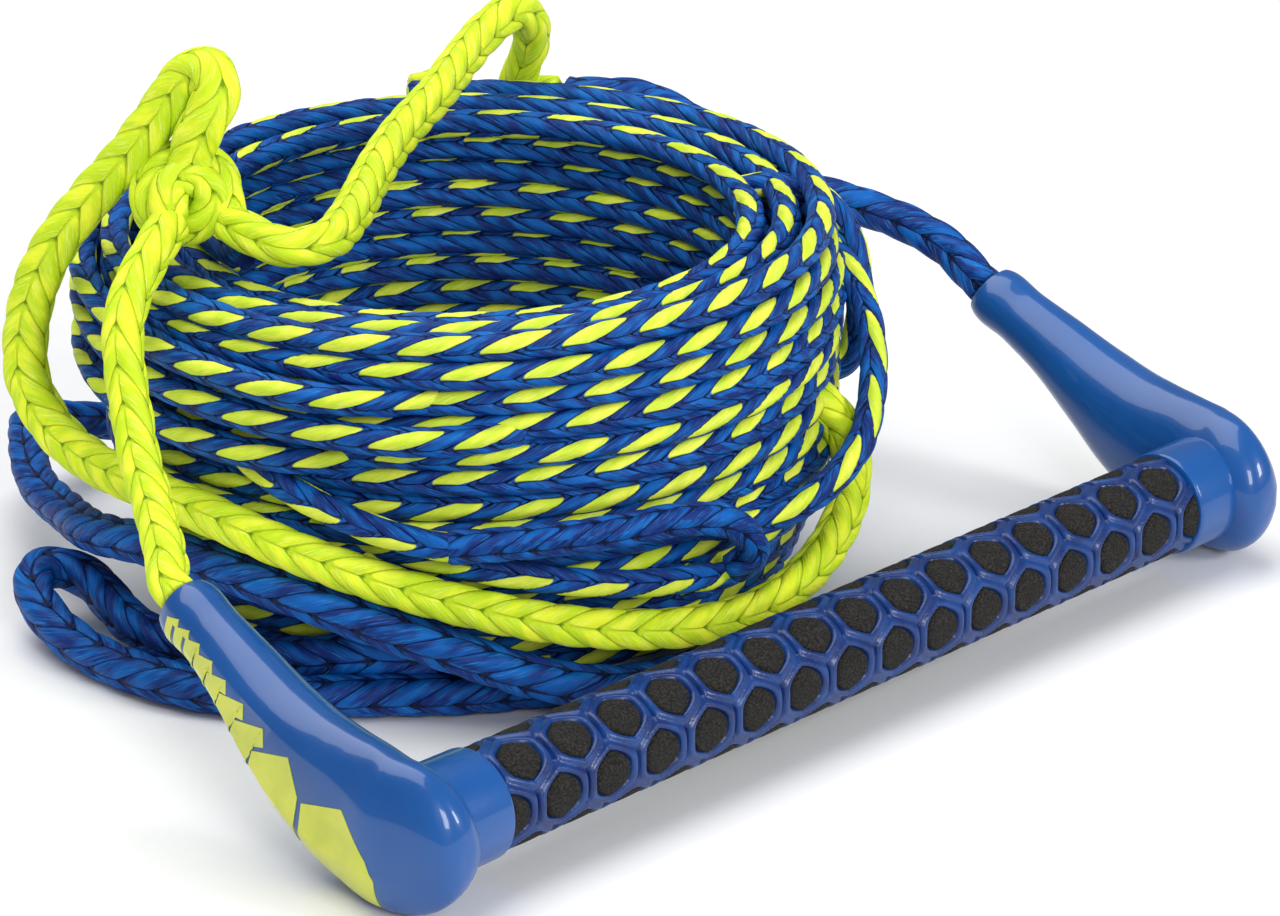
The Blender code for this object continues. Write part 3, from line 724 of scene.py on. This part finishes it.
# The covers: glossy blue vinyl, dip-moulded in one piece each, with a collar round the grip's end,
# a bulb over the end of the bar and a tapering hollow arm, flat on its outer side.
# stations along the arm, millimetres: distance behind the bar's axis, height, half height across
# the arm, innermost x and outermost x
COVER_STATIONS = [(-20.9, 21.0, 0.4, 156.0, 157.2), (-20.6, 21.0, 4.5, 153.4, 160.0),
                  (-19.0, 21.0, 9.3, 150.8, 162.6), (-15.0, 21.0, 14.7, 148.6, 165.2),
                  (-8.0, 21.0, 19.4, 147.3, 167.8), (-1.0, 21.0, 20.9, 147.0, 170.1),
                  (0.6, 21.0, 21.0, 147.0, 170.5),
                  (14.0, 23.2, 20.6, 147.0, 170.0), (29.0, 28.4, 17.6, 147.0, 170.0),
                  (44.0, 36.4, 13.2, 147.3, 169.3), (59.0, 45.2, 10.0, 147.8, 167.4),
                  (72.0, 51.6, 8.6, 148.0, 165.2), (83.6, 56.8, 8.0, 148.0, 164.0),
                  (84.0, 57.0, 7.8, 148.2, 163.8)]
COVER_WALL = 2.1
HOLLOW_START = 2           # the station at which the hollow begins
MOUTH_R, MOUTH_X = 6.4, 156.0
FLAT_SHARE = 0.55          # how much of the outer face is flat
CREASE = radians(34)       # how sharply the flat face meets the sides
BULB_END = -6              # ahead of this the arm doesn't tilt


def flowing(table, count):
    """Rows evenly along a table's rows, on smooth curves through them."""
    table = np.array(table)
    chord = np.concatenate([[0], np.cumsum(np.linalg.norm(np.diff(table[:, :3], axis=0), axis=1))])
    slope = np.gradient(table, chord, axis=0)
    at = np.linspace(0, chord[-1], count)
    cell = np.clip(np.searchsorted(chord, at, side="right") - 1, 0, len(table) - 2)
    width = (chord[cell + 1] - chord[cell])[:, None]
    t = (at - chord[cell])[:, None] / width
    a, b = table[cell], table[cell + 1]
    ma, mb = slope[cell] * width, slope[cell + 1] * width
    return a + t * (ma + t * (3 * (b - a) - 2 * ma - mb + t * (2 * (a - b) + ma + mb)))


def arm_rows(stations, count):
    """Rows along the arm, and how far the arm is tilted at each."""
    rows = flowing(stations, count)
    tilt = np.arctan2(np.gradient(rows[:, 1]), np.gradient(rows[:, 0]))
    tilt[rows[:, 0] < BULB_END] = 0
    return rows, tilt


def arm_loft(name, side, shrink=0.0, overrun=0.0):
    """A closed loft along the arm; `shrink` moves its wall inwards, `overrun` lengthens it."""
    rows, tilt = arm_rows(COVER_STATIONS[HOLLOW_START:] if shrink else COVER_STATIONS, 96)
    inner = np.linspace(0, pi, 29)[1:-1]
    rings = []
    for n, ((y, z, half, x_in, x_out), lean) in enumerate(zip(rows, tilt)):
        share = float(np.interp(y, [2, 20, 45, 82], [0.34, FLAT_SHARE, FLAT_SHARE, 0.16]))
        if shrink:
            y += 1.6 * shrink * (1 - n / (len(rows) - 1))
            half, x_in, x_out = half - shrink, x_in + shrink, x_out - shrink
            near_mouth = max(0.0, (n / (len(rows) - 1) - 0.8) / 0.2)
            half += (MOUTH_R - half) * near_mouth
            x_in += (MOUTH_X - MOUTH_R - x_in) * near_mouth
            x_out += (MOUTH_X + MOUTH_R - x_out) * near_mouth
            share *= 1 - near_mouth
        middle = x_out - 0.42 * (x_out - x_in)
        edge = CREASE * float(np.interp(y, [55, 82], [1, 0]))
        corner = np.linspace(edge, pi / 2, 13)
        bow = np.cos(corner) / cos(edge)
        rise = (np.sin(corner) - sin(edge)) / (1 - sin(edge))
        upper = np.column_stack([middle + (x_out - middle) * bow, half * (share + (1 - share) * rise)])
        lower = upper * (1, -1)
        back = np.column_stack([middle - (middle - x_in) * np.sin(inner), -half * np.cos(inner)])
        outline = np.vstack([lower, back, upper[::-1]])
        rings.append(np.column_stack([side * outline[:, 0], y - outline[:, 1] * sin(lean),
                                      z + outline[:, 1] * cos(lean)]))
    if overrun:
        rings.append(rings[-1] + (0, overrun * cos(tilt[-1]), overrun * sin(tilt[-1])))
    return skinned(name, [[(x * MM, BAR_Y + y * MM, z * MM) for x, y, z in ring] for ring in rings])


def turned_on_bar(name, side, profile, segments=96):
    """A solid of revolution about the bar from (x, radius) points, in millimetres."""
    turn = [2 * pi * j / segments for j in range(segments)]
    return skinned(name, [[(side * x * MM, BAR_Y + r * MM * cos(t), BAR_Z + r * MM * sin(t)) for t in turn]
                          for x, r in profile])


def skinned(name, rings):
    """A closed skin over rings of points."""
    bm = bmesh.new()
    loops = [[bm.verts.new(point) for point in ring] for ring in rings]
    for near, far in zip(loops, loops[1:]):
        for j in range(len(near)):
            k = (j + 1) % len(near)
            bm.faces.new((near[j], near[k], far[k], far[j]))
    bm.faces.new(loops[0])
    bm.faces.new(loops[-1])
    bmesh.ops.recalc_face_normals(bm, faces=bm.faces)
    return linked(name, bm)


def linked(name, bm):
    """The edited mesh as an object of the scene."""
    mesh = bpy.data.meshes.new(name)
    bm.to_mesh(mesh)
    bm.free()
    made = bpy.data.objects.new(name, mesh)
    bpy.context.scene.collection.objects.link(made)
    return made


def carve(body, tool, operation):
    """Apply a boolean and remove the tool."""
    step = body.modifiers.new(operation, "BOOLEAN")
    step.operation = operation
    step.solver = "EXACT"
    step.object = tool
    make_plain(body)
    bpy.data.objects.remove(tool)


def cover_vinyl(bench):
    place = bench.place()
    peel = bench.noise(place, 220.0, 2.0)
    haze = bench.noise(place, 28.0, 3.0)
    dust_and_glint = bench.noise(place, 2200.0, 1.0)
    colour = bench.blend(bench.step(haze, 0.3, 0.7), (0.003, 0.062, 0.250), (0.004, 0.079, 0.305))
    # dust specks, painted as small lighter glints
    colour = bench.blend(bench.step(dust_and_glint, 0.76, 0.82) * 0.5, colour, (0.05, 0.14, 0.42))
    return {"Base Color": colour, "Roughness": haze * 0.14 + 0.26,
            "Normal": bench.bump(peel, 0.0003, 0.35)}


vinyl_look = finish_material("cover_vinyl_dipped", cover_vinyl, Specular_IOR_Level=0.3, Coat_Weight=0.55,
                             Coat_Roughness=0.035)
COLLAR = [(134.3, 14.1), (134.5, 14.6), (134.9, 14.9), (135.5, 15.0), (155.0, 15.2)]
COLLAR_BORE = [(130.0, 10.4), (165.6, 10.4)]
covers = {}
for name, side in (("left", -1), ("right", 1)):
    cover = arm_loft(name + "_cover_shell", side)
    carve(cover, turned_on_bar("collar", side, COLLAR), "UNION")
    carve(cover, arm_loft("hollow", side, shrink=COVER_WALL, overrun=3.0), "DIFFERENCE")
    carve(cover, turned_on_bar("collar_bore", side, COLLAR_BORE), "DIFFERENCE")
    cover.data.materials.clear()
    cover.data.materials.append(vinyl_look)
    cover.data.shade_smooth()
    cover.data.set_sharp_from_angle(angle=radians(30))
    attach(cover, "handle")
    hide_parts(name + "_cover")
    covers[name] = cover


# The print: a plain block and a row of chevrons that shrink towards the mouth, lime film on the
# flat outer face of each cover. Outlines are in distance along the arm and share of its half height.
END_BLOCK = [(24.7, -0.11), (11.9, 0.26), (1.6, -0.20), (-0.1, -0.44), (1.2, -0.88), (12.7, -1.0),
             (22.4, -0.87)]
WIDE_CHEVRON = [(42.6, -0.24), (32.9, 0.37), (26.3, -0.09), (24.3, -0.86), (40.8, -0.94)]
CHEVRON_TIPS = [50.5, 57.5, 63.4, 69.1, 73.6, 77.6, 81.0]
FILM_LIFT, FILM_THICK = 0.22 * MM, 0.2 * MM
FINEST_CUT = 1.3           # longest edge of the film's mesh, so that it follows the cover, in millimetres
BEYOND_COVER = 0.19        # an x past the cover's face, from which the film is pressed onto it


def film_shapes():
    """The outlines of the block and the chevrons, each chevron starting at the tip before it."""
    shapes = [END_BLOCK, WIDE_CHEVRON]
    wide_tip, wide_low = WIDE_CHEVRON[0]
    for tip, last_tip in zip(CHEVRON_TIPS, [wide_tip] + CHEVRON_TIPS):
        gap = tip - last_tip
        low = wide_low + (tip - wide_tip) * 0.0105
        shapes.append([(tip, low), (tip - 1.02 * gap, 0.40), (tip - 1.30 * gap, 0.07),
                       (last_tip + 1.0, low - 0.05), (last_tip + 0.5, -0.95), (tip - 0.9, -0.95)])
    return shapes


def film_piece(name, side, shell):
    """The film's shapes, cut fine enough to follow the shell, and laid on it."""
    rows, tilt = arm_rows(COVER_STATIONS, 400)
    surface = BVHTree.FromPolygons([v.co.copy() for v in shell.data.vertices],
                                   [tuple(p.vertices) for p in shell.data.polygons])
    bm = bmesh.new()
    for outline in film_shapes():
        corners = []
        for along, share in outline:
            z, half, lean = [float(np.interp(along, rows[:, 0], column))
                             for column in (rows[:, 1], rows[:, 2], tilt)]
            across = share * half
            corners.append(bm.verts.new((0, along - across * sin(lean), z + across * cos(lean))))
        bm.faces.new(corners)
    bmesh.ops.triangulate(bm, faces=bm.faces)
    for _ in range(5):
        long_edges = [edge for edge in bm.edges if edge.calc_length() > FINEST_CUT]
        bmesh.ops.subdivide_edges(bm, edges=long_edges, cuts=1)
        bmesh.ops.triangulate(bm, faces=bm.faces)
    for vert in bm.verts:
        start = Vector((side * BEYOND_COVER, BAR_Y + vert.co.y * MM, vert.co.z * MM))
        hit, normal, _, _ = surface.ray_cast(start, (-side, 0, 0))
        vert.co = hit + normal * FILM_LIFT if hit else start
    bmesh.ops.recalc_face_normals(bm, faces=bm.faces)
    lost = [vert for vert in bm.verts if abs(vert.co.x) > BEYOND_COVER - 0.01]
    bmesh.ops.delete(bm, geom=lost, context="VERTS")
    if sum(face.normal.x for face in bm.faces) * side < 0:
        bmesh.ops.reverse_faces(bm, faces=bm.faces)
    film = linked(name, bm)
    thicken = film.modifiers.new("thickness", "SOLIDIFY")
    thicken.thickness = FILM_THICK
    thicken.offset = -1
    make_plain(film)
    return film


def lime_film(bench):
    place = bench.place()
    ink = bench.noise(place, 90.0, 3.0)
    dots = bench.noise(place, 1800.0, 1.0)
    colour = bench.blend(bench.step(ink, 0.3, 0.7), (0.50, 0.56, 0.030), (0.62, 0.66, 0.045))
    colour = bench.blend(bench.step(dots, 0.7, 0.8) * 0.25, colour, (0.30, 0.40, 0.02))
    return {"Base Color": colour, "Roughness": ink * 0.15 + 0.22}


film_look = finish_material("lime_film_printed", lime_film, Coat_Weight=0.3, Coat_Roughness=0.1)
for name, side in (("left", -1), ("right", 1)):
    film = film_piece(name + "_print", side, covers[name])
    film.data.materials.append(film_look)
    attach(film, "handle")
    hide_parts(name + "_cover_film")


# Inside the covers and the bar: drawn aluminium tube, white foam, nylon plugs and bushes, steel
# washers, and the rope's melted ends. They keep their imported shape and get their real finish.
def grainy(low, high, scale, rough, stretch=(1, 1, 1), depth=0.0002):
    """A finish of two near tones, its grain drawn out along the piece."""
    def draw(bench):
        drawn = bench.node("ShaderNodeMapping", None, {"Vector": bench.place(), "Scale": stretch})
        grain = bench.noise(drawn, scale, 4.0)
        return {"Base Color": bench.blend(bench.step(grain, 0.3, 0.7), low, high),
                "Roughness": grain * 0.25 + rough, "Normal": bench.bump(grain, depth, 0.4)}
    return draw


drawn_aluminium = grainy((0.60, 0.61, 0.63), (0.76, 0.77, 0.79), 900, 0.22, stretch=(0.04, 1, 1))
white_foam = grainy((0.74, 0.74, 0.70), (0.86, 0.86, 0.83), 1400, 0.7)
plug_nylon = grainy((0.66, 0.66, 0.63), (0.78, 0.78, 0.75), 300, 0.35)
bush_nylon = grainy((0.68, 0.68, 0.65), (0.80, 0.80, 0.77), 400, 0.35)
stamped_steel = grainy((0.50, 0.50, 0.50), (0.68, 0.68, 0.68), 1200, 0.2)
lime_melt = grainy((0.45, 0.62, 0.015), (0.72, 0.84, 0.03), 500, 0.35, stretch=(1, 0.2, 1), depth=0.0005)
blue_melt = grainy((0.012, 0.03, 0.22), (0.015, 0.09, 0.46), 500, 0.35, stretch=(1, 0.2, 1), depth=0.0005)
inside_looks = {"bar_tube": finish_material("bar_aluminium_drawn", drawn_aluminium, Metallic=1.0),
                "float_core": finish_material("float_foam_cells", white_foam),
                "float_plug": finish_material("plug_nylon", plug_nylon),
                "rope_bush": finish_material("bush_nylon", bush_nylon),
                "rope_washer": finish_material("washer_steel", stamped_steel, Metallic=1.0),
                "left_rope": finish_material("melted_lime", lime_melt),
                "right_rope": finish_material("melted_blue", blue_melt)}
inside = {"bar_tube": "bar_tube", "float_core": "float_core"}
for side in ("left", "right"):
    inside |= {side + "_float_plug": "float_plug", side + "_rope_bush": "rope_bush",
               side + "_rope_washer": "rope_washer", side + "_rope_button": side + "_rope",
               side + "_rope_end": side + "_rope"}
for node, look in inside.items():
    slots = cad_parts[node].data.materials
    slots.clear()
    slots.append(inside_looks[look])
